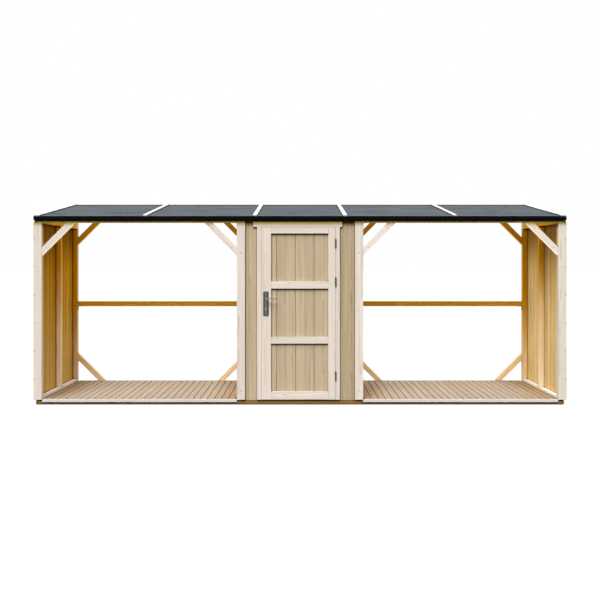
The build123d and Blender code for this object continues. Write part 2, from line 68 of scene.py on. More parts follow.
def solids_of(node):
    """The corner points of each separate solid in a frame node. Corners in one place get one
    number; each solid's triangles then pass round their lowest number until none changes."""
    mesh = nodes[node].data
    mesh.calc_loop_triangles()
    corners = np.empty(len(mesh.vertices) * 3)
    mesh.vertices.foreach_get("co", corners)
    faces = np.empty(len(mesh.loop_triangles) * 3, int)
    mesh.loop_triangles.foreach_get("vertices", faces)
    places, number = np.unique(corners.reshape(-1, 3).round(5), axis=0, return_inverse=True)
    faces = number.ravel()[faces].reshape(-1, 3)
    label = np.arange(len(places))
    while True:
        lowest = label[faces].min(1)
        spread = label.copy()
        np.minimum.at(spread, faces.ravel(), np.repeat(lowest, 3))
        if (spread == label).all():
            break
        label = spread
    return [places[label == each] for each in np.unique(label)]


def boxes_of(node):
    """Lowest and highest corner of each solid in a frame node."""
    return [(solid.min(0), solid.max(0)) for solid in solids_of(node)]


def eased(wide, deep, ease=0.0018):
    """Section of a planed board: a rectangle with round corners. Each corner's arc is its
    centre, plus the ease times the cosine and sine of three angles in its quarter."""
    quarter = np.arange(4)[:, None]
    turn = np.radians(90 * quarter + np.array([0, 45, 90]))
    centre_a = np.array([1, -1, -1, 1])[:, None] * (wide / 2 - ease)
    centre_b = np.array([1, 1, -1, -1])[:, None] * (deep / 2 - ease)
    return np.stack([centre_a + ease * np.cos(turn), centre_b + ease * np.sin(turn)], 2).reshape(-1, 2)


def pith_by_lot():
    """Where a board was cut from its log: how far along, and how far off the pith each way."""
    return lot.uniform([0, -0.05, 0.03], [40, 0.05, 0.09])


def knots_for(length, wide):
    """Two knots of a board, each as station, place across and radius, drawn by lot. A knot
    is there by a chance that is less on a short board, and else has next to no radius."""
    chance, least_radius = min(0.6, 0.3 * length), 1e-6
    station, across = lot.uniform(0, length, 2), lot.uniform(-0.4, 0.4, 2) * wide
    radius = lot.uniform(0.0025, 0.0055, 2) * (lot.uniform(size=2) < chance)
    return np.stack([station, across, radius + least_radius], 1)


def board(outline, start, end, across, cut=(0, 0), cut_end=None, end_ease=0.0008):
    """A board as its outline carried from start to end. A point is start, plus the way along
    times its station, plus the outline's first number across and its second one deep. The
    two end rings are drawn in by the end ease, and a slanting cut moves a point along by
    the cut times its place in the section. Grain is station and section on a random log.
    A part is its points, faces, grain, tone and knots."""
    start, end, across = (np.asarray(v, float) for v in (start, end, across))
    length = np.linalg.norm(end - start)
    along = (end - start) / length
    deep = np.cross(along, across)
    following = np.roll(outline, -1, 0)
    area = np.sum(outline[:, 0] * following[:, 1] - outline[:, 1] * following[:, 0])
    outline = outline if area > 0 else outline[::-1]
    middle = (outline.min(0) + outline.max(0)) / 2
    half = np.maximum((outline.max(0) - outline.min(0)) / 2, end_ease)
    drawn_in = middle + (outline - middle) * (1 - end_ease / half)
    rings = np.stack([drawn_in, outline, outline, drawn_in])
    cuts = np.array([cut, cut, cut_end or cut, cut_end or cut])
    stations = np.array([0, end_ease, length - end_ease, length])
    s = stations[:, None] + (rings * cuts[:, None, :]).sum(2)
    points = start + s[..., None] * along + rings[..., :1] * across + rings[..., 1:] * deep
    n = len(outline)
    ring = np.arange(3)[:, None] * n
    i, j = np.arange(n), np.roll(np.arange(n), -1)
    sides = np.stack([ring + i, ring + j, ring + n + j, ring + n + i], 2).reshape(-1, 4)
    faces = sides.tolist() + [list(range(n))[::-1], list(range(3 * n, 4 * n))]
    pith = pith_by_lot() * [1, 1, lot.choice([-1, 1])]
    grain = np.concatenate([s[..., None], rings], 2) + pith
    knots = knots_for(length, np.ptp(outline[:, 0])) + [pith[0], pith[1], 0]
    return points.reshape(-1, 3), faces, grain.reshape(-1, 3), lot.uniform(), knots


def boards_from(node, ease=0.0018):
    """One eased board for each square-ended solid in a frame node, with its length and its
    grain the way that the solid is longest."""
    made = []
    for low, high in boxes_of(node):
        size, middle = high - low, (low + high) / 2
        along, across, deep = np.eye(3)[np.argsort(size)[::-1]]
        half = along * size.max() / 2
        outline = eased(size @ across, size @ deep, ease)
        made.append(board(outline, middle - half, middle + half, across))
    return made


def placed(name, data):
    """A new object in the scene, at the origin."""
    thing = bpy.data.objects.new(name, data)
    bpy.context.scene.collection.objects.link(thing)
    return thing


def in_place(name, points, faces, material, slot, *stands_for, body="root"):
    """Puts points and faces into the scene as a closed mesh of one material, which rides on
    a body and stands for its frame nodes, and gives back the mesh."""
    mesh = bpy.data.meshes.new(name)
    mesh.from_pydata(points.tolist(), [], faces)
    mesh.materials.append(material)
    piece = placed(name, mesh)
    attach(piece, body)
    if stands_for:
        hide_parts(*stands_for)
    return mesh


def joined(name, parts, material, slot, *stands_for, body="root", shelter=None):
    """Puts parts in place as one mesh. Its attributes are the grain, a tone and two knots for
    each part, and a share of painted shade, by the place of each point."""
    points, faces, grain, tones, knots = zip(*parts)
    counts = [len(own) for own in points]
    first = np.cumsum([0] + counts)
    faces = [(np.array(face) + base).tolist() for own, base in zip(faces, first) for face in own]
    points = np.concatenate(points)
    mesh = in_place(name, points, faces, material, slot, *stands_for, body=body)
    knots = np.repeat(knots, counts, 0)
    for word, kind, socket, values in (
            ("grain", "FLOAT_VECTOR", "vector", np.concatenate(grain)),
            ("knot_a", "FLOAT_VECTOR", "vector", knots[:, 0]),
            ("knot_b", "FLOAT_VECTOR", "vector", knots[:, 1]),
            ("tone", "FLOAT", "value", np.repeat(tones, counts)),
            ("shelter", "FLOAT", "value", shelter(points) if shelter else np.zeros(len(points)))):
        attribute = mesh.attributes.new(word, kind, "POINT")
        attribute.data.foreach_set(socket, values.astype(np.float32).ravel())


def srgb(red, green, blue):
    """A colour from its 0 to 255 screen values, as the shader's linear numbers."""
    value = np.array([red, green, blue]) / 255
    linear = np.where(value <= 0.04045, value / 12.92, ((value + 0.055) / 1.055) ** 2.4)
    return (*linear.tolist(), 1.0)


def add(tree, kind, *inputs, **settings):
    """A shader node. Each input is a number, a colour, another node's output, or None."""
    node = tree.nodes.new("ShaderNode" + kind)
    for setting, value in settings.items():
        setattr(node, setting, value)
    for socket, value in zip(node.inputs, inputs):
        if isinstance(value, bpy.types.NodeSocket):
            tree.links.new(value, socket)
        elif value is not None:
            socket.default_value = value
    return node


def maths(tree, operation, *values):
    return add(tree, "Math", *values, operation=operation).outputs[0]


def scaled(tree, vector, by):
    return add(tree, "VectorMath", vector, by, operation="MULTIPLY").outputs[0]


def noise(tree, vector, scale, detail=2.0, roughness=0.5):
    return add(tree, "TexNoise", vector, None, scale, detail, roughness).outputs[0]


def ramp(tree, value, low, high, to_low=0.0, to_high=1.0):
    """A value eased from one range to another, flat outside it."""
    made = add(tree, "MapRange", value, low, high, to_low, to_high, interpolation_type="SMOOTHSTEP")
    return made.outputs[0]


def tint(tree, share, first, second, blend="MIX"):
    """A mix of two colours, with the second one laid on by the share."""
    node = add(tree, "Mix", data_type="RGBA", blend_type=blend)
    for socket, value in zip([node.inputs[0], node.inputs[6], node.inputs[7]], [share, first, second]):
        if isinstance(value, bpy.types.NodeSocket):
            tree.links.new(value, socket)
        else:
            socket.default_value = value
    return node.outputs[2]


def plain(name, roughness, shine, metal=0.0):
    """A new material, its node tree and its shader, with what is even all over."""
    material = bpy.data.materials.new(name)
    material.use_nodes = True
    tree = material.node_tree
    shader = tree.nodes["Principled BSDF"]
    shader.inputs["Roughness"].default_value = roughness
    shader.inputs["Specular IOR Level"].default_value = shine
    shader.inputs["Metallic"].default_value = metal
    return material, tree, shader


def timber(name, colour, knot, painted_shade_colours=None, eaves_shadow=None, grained=0.7, spread=0.06, gap_shade_level=0.32,
           ledge_shadows=True, shaded_feet=False):
    """Softwood: growth rings about a pith that lies beside each board, drawn off course round
    knots; streaks and fibres along the grain; and a shade of its own for each board. The
    painted shade colours are a pair, for a painted shade share of one half and of 1. Wood is
    painted darker and browner as shade in nooks, in gaps and just below ledges, and with a
    painted shadow band under the eaves if it reaches them. It is painted dimmer near the roof
    where it has painted shade, and its feet are painted nearly black as shade at the ground.
    The grain's late wood is darker than the rest."""
    # Late wood is the grain's colour; the others are painted shade and painted shadow colours.
    late, nook_shade = srgb(214, 200, 176), srgb(190, 160, 84)
    gap, ledge_shadow = srgb(116, 92, 50), srgb(84, 66, 26)
    gloom, foot_shade = srgb(190, 178, 132), srgb(20, 14, 6)
    rings_a_metre, nook_reach = 240.0, 0.022
    material, tree, shader = plain(name, 0.62, 0.02)
    grain = add(tree, "Attribute", attribute_name="grain").outputs["Vector"]
    tone = add(tree, "Attribute", attribute_name="tone").outputs["Fac"]
    reach = []
    for word in ("knot_a", "knot_b"):
        knot_at = add(tree, "Attribute", attribute_name=word).outputs["Vector"]
        off = add(tree, "VectorMath", grain, knot_at, operation="SUBTRACT").outputs[0]
        off = add(tree, "VectorMath", scaled(tree, off, (0.8, 1.0, 0.0)), operation="LENGTH")
        radius = add(tree, "SeparateXYZ", knot_at).outputs[2]
        reach.append(maths(tree, "DIVIDE", off.outputs["Value"], radius))
    near = maths(tree, "MINIMUM", *reach)
    spot = ramp(tree, near, 1.15, 0.7)
    bend = ramp(tree, near, 4.0, 0.8)
    wander = noise(tree, scaled(tree, grain, (0.9, 8.0, 8.0)), 1.0, 2.0)
    out = add(tree, "VectorMath", scaled(tree, grain, (0.0, 1.0, 1.0)), operation="LENGTH")
    out = maths(tree, "ADD", out.outputs["Value"], maths(tree, "MULTIPLY", wander, 0.03))
    out = maths(tree, "ADD", out, maths(tree, "MULTIPLY", bend, 0.005))
    ring = maths(tree, "FRACT", maths(tree, "MULTIPLY", out, rings_a_metre))
    ring = maths(tree, "POWER", ring, 2.5)
    streak = noise(tree, scaled(tree, grain, (1.2, 55.0, 55.0)), 1.0, 3.0, 0.6)
    fibre = noise(tree, scaled(tree, grain, (14.0, 700.0, 700.0)), 1.0, 1.0)
    line = maths(tree, "ADD", maths(tree, "MULTIPLY", ring, 0.35), maths(tree, "MULTIPLY", streak, 0.8))
    line = maths(tree, "ADD", line, maths(tree, "MULTIPLY", fibre, 0.2))
    line = ramp(tree, line, 0.3, 1.0)
    wood = colour
    if painted_shade_colours:
        # Painted shade: wood turns to the half shade colour, then to the deep one, as its painted shade
        # share rises.
        half_shade_colour, deep = painted_shade_colours
        shelter = add(tree, "Attribute", attribute_name="shelter").outputs["Fac"]
        wood = tint(tree, ramp(tree, shelter, 0.0, 0.5), wood, half_shade_colour)
        wood = tint(tree, ramp(tree, shelter, 0.5, 1.0), wood, deep)
    wood = tint(tree, maths(tree, "MULTIPLY", line, grained), wood, late, "MULTIPLY")
    place = add(tree, "SeparateXYZ", add(tree, "TexCoord").outputs["Object"]).outputs
    # Painted shadow of the roof's front edge: a darker band just below the eaves.
    if eaves_shadow:
        band_foot, band_top = eaves_z - 0.079, eaves_z - 0.017
        painted_shade_region = ramp(tree, place[1], front_y + 0.3, front_y + 0.15)
        if painted_shade_colours:
            painted_shade_region = maths(tree, "MAXIMUM", painted_shade_region, ramp(tree, shelter, 0.0, 0.2))
        share = maths(tree, "MULTIPLY", ramp(tree, place[2], band_foot, band_top), painted_shade_region)
        wood = tint(tree, share, wood, eaves_shadow, "MULTIPLY")
    # Painted shade: wood with painted shade is dimmer high up under the roof.
    if eaves_shadow and painted_shade_colours:
        share = ramp(tree, place[2], 1.3, eaves_z - 0.08)
        share = maths(tree, "MULTIPLY", share, ramp(tree, shelter, 0.2, 0.5))
        wood = tint(tree, share, wood, gloom, "MULTIPLY")
    # Painted shade: feet are darkened nearly black where they stand over the bearers.
    if shaded_feet:
        wood = tint(tree, ramp(tree, place[2], 0.052, 0.047), wood, foot_shade)
    # Painted shade in nooks and gaps, read from ambient occlusion.
    nook = add(tree, "AmbientOcclusion", None, nook_reach, samples=6).outputs["AO"]
    wood = tint(tree, ramp(tree, nook, 0.75, 0.3), wood, nook_shade, "MULTIPLY")
    wood = tint(tree, ramp(tree, nook, gap_shade_level + 0.15, gap_shade_level - 0.15), wood, gap, "MULTIPLY")
    # Painted shadow just below ledges, on faces turned toward the key light.
    if ledge_shadows:
        toward_key_light = add(tree, "CombineXYZ", -0.25, -0.7, 0.67).outputs[0]
        normal = add(tree, "NewGeometry").outputs["Normal"]
        facing = add(tree, "VectorMath", normal, toward_key_light, operation="DOT_PRODUCT")
        facing = ramp(tree, facing.outputs["Value"], 0.2, 0.5)
        under = add(tree, "AmbientOcclusion", None, nook_reach, toward_key_light, samples=6)
        under = ramp(tree, under.outputs["AO"], 0.76, 0.42)
        wood = tint(tree, maths(tree, "MULTIPLY", under, facing), wood, ledge_shadow, "MULTIPLY")
    shade = ramp(tree, tone, 0.0, 1.0, 1 - spread, 1 + spread)
    shade = add(tree, "CombineXYZ", shade, shade, shade).outputs[0]
    wood = tint(tree, 1.0, wood, shade, "MULTIPLY")
    wood = tint(tree, maths(tree, "MULTIPLY", spot, 0.7), wood, knot)
    tree.links.new(wood, shader.inputs["Base Color"])
    relief = maths(tree, "MULTIPLY", fibre, 0.6)
    relief = maths(tree, "SUBTRACT", relief, maths(tree, "MULTIPLY", ring, 0.5))
    bump = add(tree, "Bump", 0.3, 0.0005, None, relief)
    tree.links.new(bump.outputs[0], shader.inputs["Normal"])
    return material


roof_low, roof_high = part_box("roof_boards")
front_y, eaves_z = roof_low.y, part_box("fascias")[0].z
treated = timber("treated_timber", srgb(152, 118, 68), srgb(60, 42, 22), grained=1.0, gap_shade_level=0.5,
                 ledge_shadows=False)
joined("bearers_sawn", boards_from("bearers", 0.003), treated, "treated_timber", "bearers")


# Deck: softwood boards laid front to back over the bearers with open gaps, screwed down, and
# a pale strip of a smooth finish fixed over their front ends in each open bay.

def painted_shade_near_walls(points):
    """How much painted shade a deck board gets: one half beside a cross wall, and down to nothing
    a stride away from it."""
    inner_wall, outer_wall, stride = 0.652, 2.664, 0.4
    off_middle = np.abs(points[:, 0])
    off_wall = np.minimum(off_middle - inner_wall, outer_wall - off_middle)
    return 0.5 * np.clip(1 - off_wall / stride, 0, 1)


# Painted shade: deck boards beside the cross walls are darker and warmer.
deck_wall_shade = srgb(160, 135, 104)
decking = timber("deck_timber", srgb(170, 155, 139), srgb(96, 74, 54), painted_shade_colours=(deck_wall_shade, deck_wall_shade),
                 grained=0.9, spread=0.03, gap_shade_level=0.62)
for part in ("left", "right", "cupboard"):
    node = f"deck_boards_{part}"
    joined(f"deck_{part}", boards_from(node, 0.0015), decking, "deck_timber", node, shelter=painted_shade_near_walls)
pale_strip = timber("edge_strip", srgb(222, 221, 219), srgb(170, 165, 155), grained=0.3)
joined("deck_front_strips", boards_from("deck_edge_strips"), pale_strip, "edge_strip", "deck_edge_strips")


# Frame: posts, studs, plates and rails of planed spruce, skew-nailed together, with the
# back rail raised on a block over each back post. Under the roof the wood gets painted
# shade, golden and darker.

def by_rear_face(points, share, rear_share):
    """A share that is another one on the rearmost face, which looks out at the back."""
    face_deep = 0.004
    return np.where(points[:, 1] > points[:, 1].max() - face_deep, rear_share, share)


def roof_painted_shade(points):
    """How much painted shade wood gets: it rises with height and with depth, and is little on
    the rearmost face."""
    share = (points[:, 2] + points[:, 1] - front_y - 0.15) / 2.0
    return by_rear_face(points, share, 0.15)


# Framing's second pair of colours is painted shade for wood under the roof.
framing = timber("frame_timber", srgb(250, 241, 228), srgb(150, 110, 70),
                 painted_shade_colours=(srgb(249, 221, 177), srgb(244, 185, 26)), shaded_feet=True)
for node in ("end_wall_posts", "cupboard_wall_posts", "cupboard_wall_plates",
             "cupboard_front_studs", "cupboard_back_rails", "back_mid_rails"):
    joined(f"{node}_planed", boards_from(node), framing, "frame_timber", node, shelter=roof_painted_shade)


def plates_painted_shade(points):
    """Top plates get full painted shade and sole plates, which the sun reaches, get none."""
    return np.where(points[:, 2] > 1, 1.0, -0.2)


joined("end_wall_plates_planed", boards_from("end_wall_plates"), framing, "frame_timber",
       "end_wall_plates", shelter=plates_painted_shade)


def risers_painted_shade(points):
    """The blocks get painted shade, but for the face that looks out at the back."""
    return by_rear_face(points, 0.8, 0.0)


joined("back_risers_planed", boards_from("back_risers"), framing, "frame_timber", "back_risers",
       shelter=risers_painted_shade)


# Cladding: upright tongued boards with a V at each joint, nailed outside the studs, and cut
# off along the slope of the roof on the cross walls.

def tongued(left, right, plain_left, plain_right, thick, vees=(0.004, 0.004)):
    """Section of one board between two joints. Each edge is chamfered on both faces by its
    vee; the right one carries a tongue and the left one a groove, and an edge at the end of
    the panel is plain, and chamfered on its outer face only. It is a list of corners, left
    edge first, then the right one."""
    gap, tongue, groove, cheek = 0.0004, 0.0055, 0.0062, 0.36
    low, high = thick * cheek, thick * (1 - cheek)
    a, v = left + gap, vees[0]
    corners = [(left + v, 0), (left, v), (left, thick)] if plain_left else [
        (left + v, 0), (a, v - gap), (a, low - gap), (a + groove, low - gap),
        (a + groove, high + gap), (a, high + gap), (a, thick - v + gap), (left + v, thick)]
    b, v = right - gap, vees[1]
    corners += [(right, thick), (right, v), (right - v, 0)] if plain_right else [
        (right - v, thick), (b, thick - v + gap), (b, high), (b + tongue, high),
        (b + tongue, low), (b, low), (b, v - gap), (right - v, 0)]
    return np.array(corners)


def panel(low, high, joints, across, thick_way, slope=0.0, vee=0.004, end_vee=0.001):
    """Upright boards between two edges of a box, given the joints between them, with one
    vee for all joints or one for each. They stand side by side across it and are cut at
    the top to a slope that rises that way."""
    across, thick_way = np.asarray(across, float), np.asarray(thick_way, float)
    edges = [low @ across, *joints, high @ across]
    vees = [end_vee, *np.broadcast_to(vee, len(joints)), end_vee]
    thick = abs((high - low) @ thick_way)
    face = low @ np.abs(thick_way) if thick_way.sum() > 0 else high @ np.abs(thick_way)
    made = []
    last = len(edges) - 2
    for i, (left, right) in enumerate(zip(edges, edges[1:])):
        middle = (left + right) / 2
        outline = tongued(left, right, i == 0, i == last, thick, vees[i:i + 2]) - [middle, 0]
        foot = across * middle + np.abs(thick_way) * face
        rise = slope * (high @ across - middle)
        foot, top = foot + [0, 0, low[2]], foot + [0, 0, high[2] - rise]
        deep = np.cross([0, 0, 1], across)
        outline = outline * [1, np.sign(deep @ thick_way)]
        made.append(board(outline, foot, top, across, cut_end=(slope, 0)))
    return made


cover = 0.0975


def joints_in(low, high, known):
    """Places of the joints between two edges, stepping by the cover width of one board from
    a known joint, with none next to an edge."""
    least = 0.008
    first = math.ceil((low + least - known) / cover)
    last = math.floor((high - least - known) / cover)
    return [known + cover * i for i in range(first, last + 1)]


def wall_painted_shade(middle_x, outward_x, low_down, high_up):
    """How much painted shade a cross wall gets: between two shares by height on the face that
    looks into the bay, and none on the other one."""
    def of_points(points):
        share = low_down + (high_up - low_down) * points[:, 2] / eaves_z
        return share * ((points[:, 0] - middle_x) * outward_x < 0)
    return of_points


roof_board = 0.016
roof_slope = (roof_high.z - roof_low.z - roof_board) / (roof_high.y - roof_low.y)
wall_middle = front_y + 0.55
# Cladding's pair of colours is painted shade, and its eaves colour is a painted shadow band.
cladding = timber("cladding", srgb(201, 182, 153), srgb(120, 88, 56),
                  painted_shade_colours=(srgb(249, 221, 156), srgb(206, 151, 4)),
                  eaves_shadow=srgb(150, 128, 60), grained=0.9)
# Painted shade: the left wall, which faces away from the key light, gets more than the right.
for wall, side, low_down, high_up in (("end", "left", 0.76, 1.05), ("end", "right", 0.34, 0.78),
                                      ("cupboard", "left", 0.5, 1.0), ("cupboard", "right", 0.5, 1.0)):
    node = f"{wall}_wall_boards_{side}"
    low, high = (np.array(v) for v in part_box(node))
    outward = (1, 0, 0) if side == "right" else (-1, 0, 0)
    shelter = wall_painted_shade((low[0] + high[0]) / 2, outward[0], low_down, high_up)
    joints = joints_in(low[1], high[1], wall_middle)
    parts = panel(low, high, joints, (0, 1, 0), outward, roof_slope)
    joined(f"{wall}_wall_cladding_{side}", parts, cladding, "cladding", node, shelter=shelter)
door_joint = -0.0475
low, high = (np.array(v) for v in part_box("cupboard_back_boards"))
parts = panel(low, high, joints_in(low[0], high[0], door_joint), (1, 0, 0), (0, 1, 0))
joined("cupboard_back_cladding", parts, cladding, "cladding", "cupboard_back_boards")
parts = []
for low, high in boxes_of("cupboard_front_boards"):
    joints = joints_in(low[0], high[0], door_joint)
    parts += panel(low, high, joints, (1, 0, 0), (0, 1, 0), vee=0.0015, end_vee=0.005)
joined("cupboard_front_cladding", parts, cladding, "cladding", "cupboard_front_boards")


# Trim: planed cover boards over the front and back of the posts, and corner boards on the
# outer faces, which follow the roof at the top.

# Planed boards get the painted shadow band below the eaves.
planed = timber("planed_timber", srgb(237, 227, 217), srgb(176, 146, 116),
                eaves_shadow=srgb(203, 188, 101), spread=0.025)
for node in ("front_cover_boards", "back_cover_boards"):
    joined(f"{node}_planed", boards_from(node), planed, "planed_timber", node)


def cut_boards(node):
    """Boards for the upright solids of a node whose tops rise to the back."""
    made = []
    for low, high in boxes_of(node):
        size, middle = high - low, (low + high) / 2
        foot = (middle[0], middle[1], low[2])
        top = (middle[0], middle[1], high[2] - roof_slope * size[1] / 2)
        outline = eased(size[1], size[0])
        made.append(board(outline, foot, top, (0, 1, 0), cut_end=(roof_slope, 0)))
    return made


joined("corner_boards_planed", cut_boards("corner_boards"), planed, "planed_timber", "corner_boards")


# Braces: short lengths set at 45 degrees in the corners of the open bays, with both ends
# cut to lie flat on post and rail.

def braces(node):
    """A brace for each solid of a node, from the middle of its upright cut to the middle of
    its level one. Both ends are cut at 45 degrees to the length."""
    made = []
    near = 0.001
    for solid in solids_of(node):
        low, high = solid.min(0), solid.max(0)
        upper = solid[:, 2] > high[2] - near
        lower = solid[:, 2] < low[2] + near
        level_top = np.ptp(solid[upper, 0]) > np.ptp(solid[lower, 0])
        level = solid[upper if level_top else lower]
        post_right = level[:, 0].mean() < (low[0] + high[0]) / 2
        post_x = high[0] if post_right else low[0]
        post = solid[np.abs(solid[:, 0] - post_x) < near]
        depth = (low[1] + high[1]) / 2
        start = np.array([post_x, depth, (post[:, 2].min() + post[:, 2].max()) / 2])
        end = np.array([(level[:, 0].min() + level[:, 0].max()) / 2, depth, level[0, 2]])
        along = (end - start) / np.linalg.norm(end - start)
        across = np.cross([0, 1, 0], along)
        start_cut = -across[0] / along[0]
        end_cut = -across[2] / along[2]
        outline = eased(np.ptp(post[:, 2]) * abs(along[0]), high[1] - low[1])
        made.append(board(outline, start, end, across, (start_cut, 0), (end_cut, 0)))
    return made


joined("front_braces_planed", braces("front_braces"), planed, "planed_timber", "front_braces")
joined("back_braces_planed", braces("back_braces"), framing, "planed_timber", "back_braces",
       shelter=roof_painted_shade)


# Rails and rafters: softwood rails along the front and the back, bevelled on top to lie under
# the roof boards, and seven rafters up the slope.

def header(node, material, slot, shelter=None):
    """A long rail as a four-cornered section, higher at the back, carried from end to end.
    Where it is housed out along its front, the middle length is that much thinner."""
    solid, = solids_of(node)
    low, high = solid.min(0), solid.max(0)
    housing, off_bays = 0.033, 1.0
    housed = solid[np.abs(solid[:, 0]) < off_bays, 0]
    ends = [low[0], *([housed.min(), housed.max()] if len(housed) else []), high[0]]
    lengths = []
    for i, (left, right) in enumerate(zip(ends, ends[1:])):
        front = low[1] + (housing if i == 1 else 0)
        depth = high[1] - front
        middle = np.array([0, (front + high[1]) / 2, (low[2] + high[2]) / 2])
        corners = np.array([(-depth / 2, low[2]), (depth / 2, low[2]), (depth / 2, high[2]),
                            (-depth / 2, high[2] - roof_slope * depth)]) - [0, middle[2]]
        lengths.append(board(corners, middle + [left, 0, 0], middle + [right, 0, 0], (0, 1, 0)))
    joined(f"{node}_planed", lengths, material, slot, node, shelter=shelter)


header("front_header", planed, "frame_timber")
header("back_header", framing, "frame_timber", roof_painted_shade)
parts = []
near, square_share = 0.001, 0.98
for solid in solids_of("rafters"):
    low, high = solid.min(0), solid.max(0)
    wide, run, middle_x = high[0] - low[0], high[1] - low[1], (low[0] + high[0]) / 2
    side = solid[np.abs(solid[:, 0] - low[0]) < near]
    back = side[np.abs(side[:, 1] - high[1]) < near]
    tall = np.ptp(back[:, 2])
    start = np.array([middle_x, low[1], high[2] - roof_slope * run - tall / 2])
    end = start + [0, run, roof_slope * run]
    outline = eased(wide, tall * square_share)
    parts.append(board(outline, start, end, (1, 0, 0), (0, roof_slope)))
joined("rafters_planed", parts, framing, "frame_timber", "rafters", shelter=roof_painted_shade)


# Door frame: two rebated jambs and a rebated head, planed, with a wider board nailed across
# their top. Slim beads on jambs and head close most of the gap round the door.

jamb_face, rebate, stop = 0.042, 0.040, 0.012
parts = []
for low, high in boxes_of("door_jambs"):
    middle, deep = (low + high) / 2, high[1] - low[1]
    toward_door = 1 if middle[0] < 0 else -1
    outer = low[0] if toward_door > 0 else high[0]
    section = np.array([(0, 0), (jamb_face, 0), (jamb_face, rebate), (jamb_face + stop, rebate),
                        (jamb_face + stop, deep), (0, deep)])
    section = section * [toward_door, 1] + [outer - middle[0], low[1] - middle[1]]
    parts.append(board(section, (*middle[:2], low[2]), (*middle[:2], high[2]), (1, 0, 0)))
joined("door_jambs_planed", parts, planed, "planed_timber", "door_jambs")
joined("door_trim_planed", boards_from("door_top_trim"), planed, "planed_timber", "door_top_trim")

low, high = (np.array(v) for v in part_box("door_head"))
stop_in, stop_back = 0.054, 0.023
rail_low = low + [0, 0, stop]
stop_low = np.array([low[0] + stop_in, low[1] + stop_back, low[2]])
stop_high = np.array([high[0] - stop_in, high[1], rail_low[2]])
parts = []
for corner, far in ((rail_low, high), (stop_low, stop_high)):
    middle, size = (corner + far) / 2, far - corner
    outline = eased(size[1], size[2])
    parts.append(board(outline, (corner[0], *middle[1:]), (far[0], *middle[1:]), (0, 1, 0)))
joined("door_head_planed", parts, planed, "planed_timber", "door_head")

jambs_low, jambs_high = (np.array(v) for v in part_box("door_jambs"))
bead_front, bead_back, bead_ease = front_y + 0.0006, front_y + 0.016, 0.0004
lock_bead, hinge_bead, head_bead = 0.0060, 0.0038, 0.0053
left, right = jambs_low[0] + jamb_face, jambs_high[0] - jamb_face
y, deep = (bead_front + bead_back) / 2, bead_back - bead_front
parts = []
for x, wide in ((left + lock_bead / 2, lock_bead), (right - hinge_bead / 2, hinge_bead)):
    foot, top = (x, y, jambs_low[2]), (x, y, jambs_high[2])
    parts.append(board(eased(wide, deep, bead_ease), foot, top, (1, 0, 0)))
z = jambs_high[2] - head_bead / 2
parts.append(board(eased(deep, head_bead, bead_ease), (left, y, z), (right, y, z), (0, 1, 0)))
joined("door_draught_beads", parts, planed, "planed_timber")


# Door: a leaf of upright tongued boards, with two stiles and four rails screwed to its
# front. The lock stile and the board behind it are drilled for the handle's spindle.

def drilled(low, high, hole_x, hole_z, radius, ease):
    """An upright board with a hole from front to back. Rows of points run round the hole: its
    front rim, the front face's edge, the two edges of the board's sides, the back face's
    edge and the back rim. Each point lies on a ray from the hole's centre, which meets the
    sides where the nearer of its two distances, to a side or to an end, is reached."""
    corners = np.array([(low[0], low[2]), (high[0], low[2]), (high[0], high[2]), (low[0], high[2])])
    centre = np.array([hole_x, hole_z])
    corner_turns = np.arctan2(*(corners - centre).T[::-1])
    even_turns = np.linspace(-np.pi, np.pi, 28, endpoint=False)
    turn = np.sort(np.concatenate([even_turns, corner_turns]))
    ray = np.stack([np.cos(turn), np.sin(turn)], 1)
    side = np.where(ray > 0, [high[0], high[2]], [low[0], low[2]])
    with np.errstate(divide="ignore"):
        reach = np.abs((side - centre) / ray).min(1)
    edge = centre + ray * reach[:, None]
    drawn_in = np.clip(edge, [low[0] + ease, low[2] + ease], [high[0] - ease, high[2] - ease])
    rim = centre + ray * radius
    rows = [(rim, low[1]), (drawn_in, low[1]), (edge, low[1] + ease),
            (edge, high[1] - ease), (drawn_in, high[1]), (rim, high[1])]
    n = len(turn)
    points = np.concatenate([np.insert(row, 1, y, axis=1) for row, y in rows])
    row = np.arange(len(rows))[:, None] * n
    after = np.roll(row, -1, 0)
    i, j = np.arange(n), np.roll(np.arange(n), -1)
    faces = np.stack([row + i, row + j, after + j, after + i], 2).reshape(-1, 4)
    pith = pith_by_lot()
    grain = points[:, [2, 0, 1]] - [0, (low[0] + high[0]) / 2, low[1]] + pith
    knots = knots_for(high[2] - low[2], high[0] - low[0]) + [pith[0] + low[2], pith[1], 0]
    return points, faces.tolist(), grain, lot.uniform(), knots


handle_x, lever_z, spindle_hole = -0.352, 1.093, 0.007
low, high = (np.array(v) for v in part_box("door_boards"))
first_joint, *joints = joints_in(low[0], high[0], door_joint)
joint_gap, deep_vee, slight_vee = 0.0006, 0.0045, 0.001
vees = [slight_vee if round((x - door_joint) / cover) % 2 else deep_vee for x in joints]
parts = panel(np.array([first_joint, low[1], low[2]]), high, joints, (1, 0, 0), (0, 1, 0), vee=vees)
lock_board_high = np.array([first_joint - joint_gap, high[1], high[2]])
parts.append(drilled(low, lock_board_high, handle_x, lever_z, spindle_hole, 0.002))
door_boards = timber("door_boards", srgb(203, 186, 159), srgb(130, 98, 66), grained=0.85)
joined("door_boards_tongued", parts, door_boards, "cladding", "door_boards", body="door")
lock_stile, hinge_stile = sorted(boxes_of("door_stiles"), key=lambda box: box[0][0])
parts = [drilled(*lock_stile, handle_x, lever_z, spindle_hole, 0.0015)]
low, high = hinge_stile
middle, size = (low + high) / 2, high - low
foot, top = (*middle[:2], low[2]), (*middle[:2], high[2])
parts.append(board(eased(size[0], size[1]), foot, top, (1, 0, 0)))
joined("door_stiles_planed", parts, planed, "planed_timber", "door_stiles", body="door")
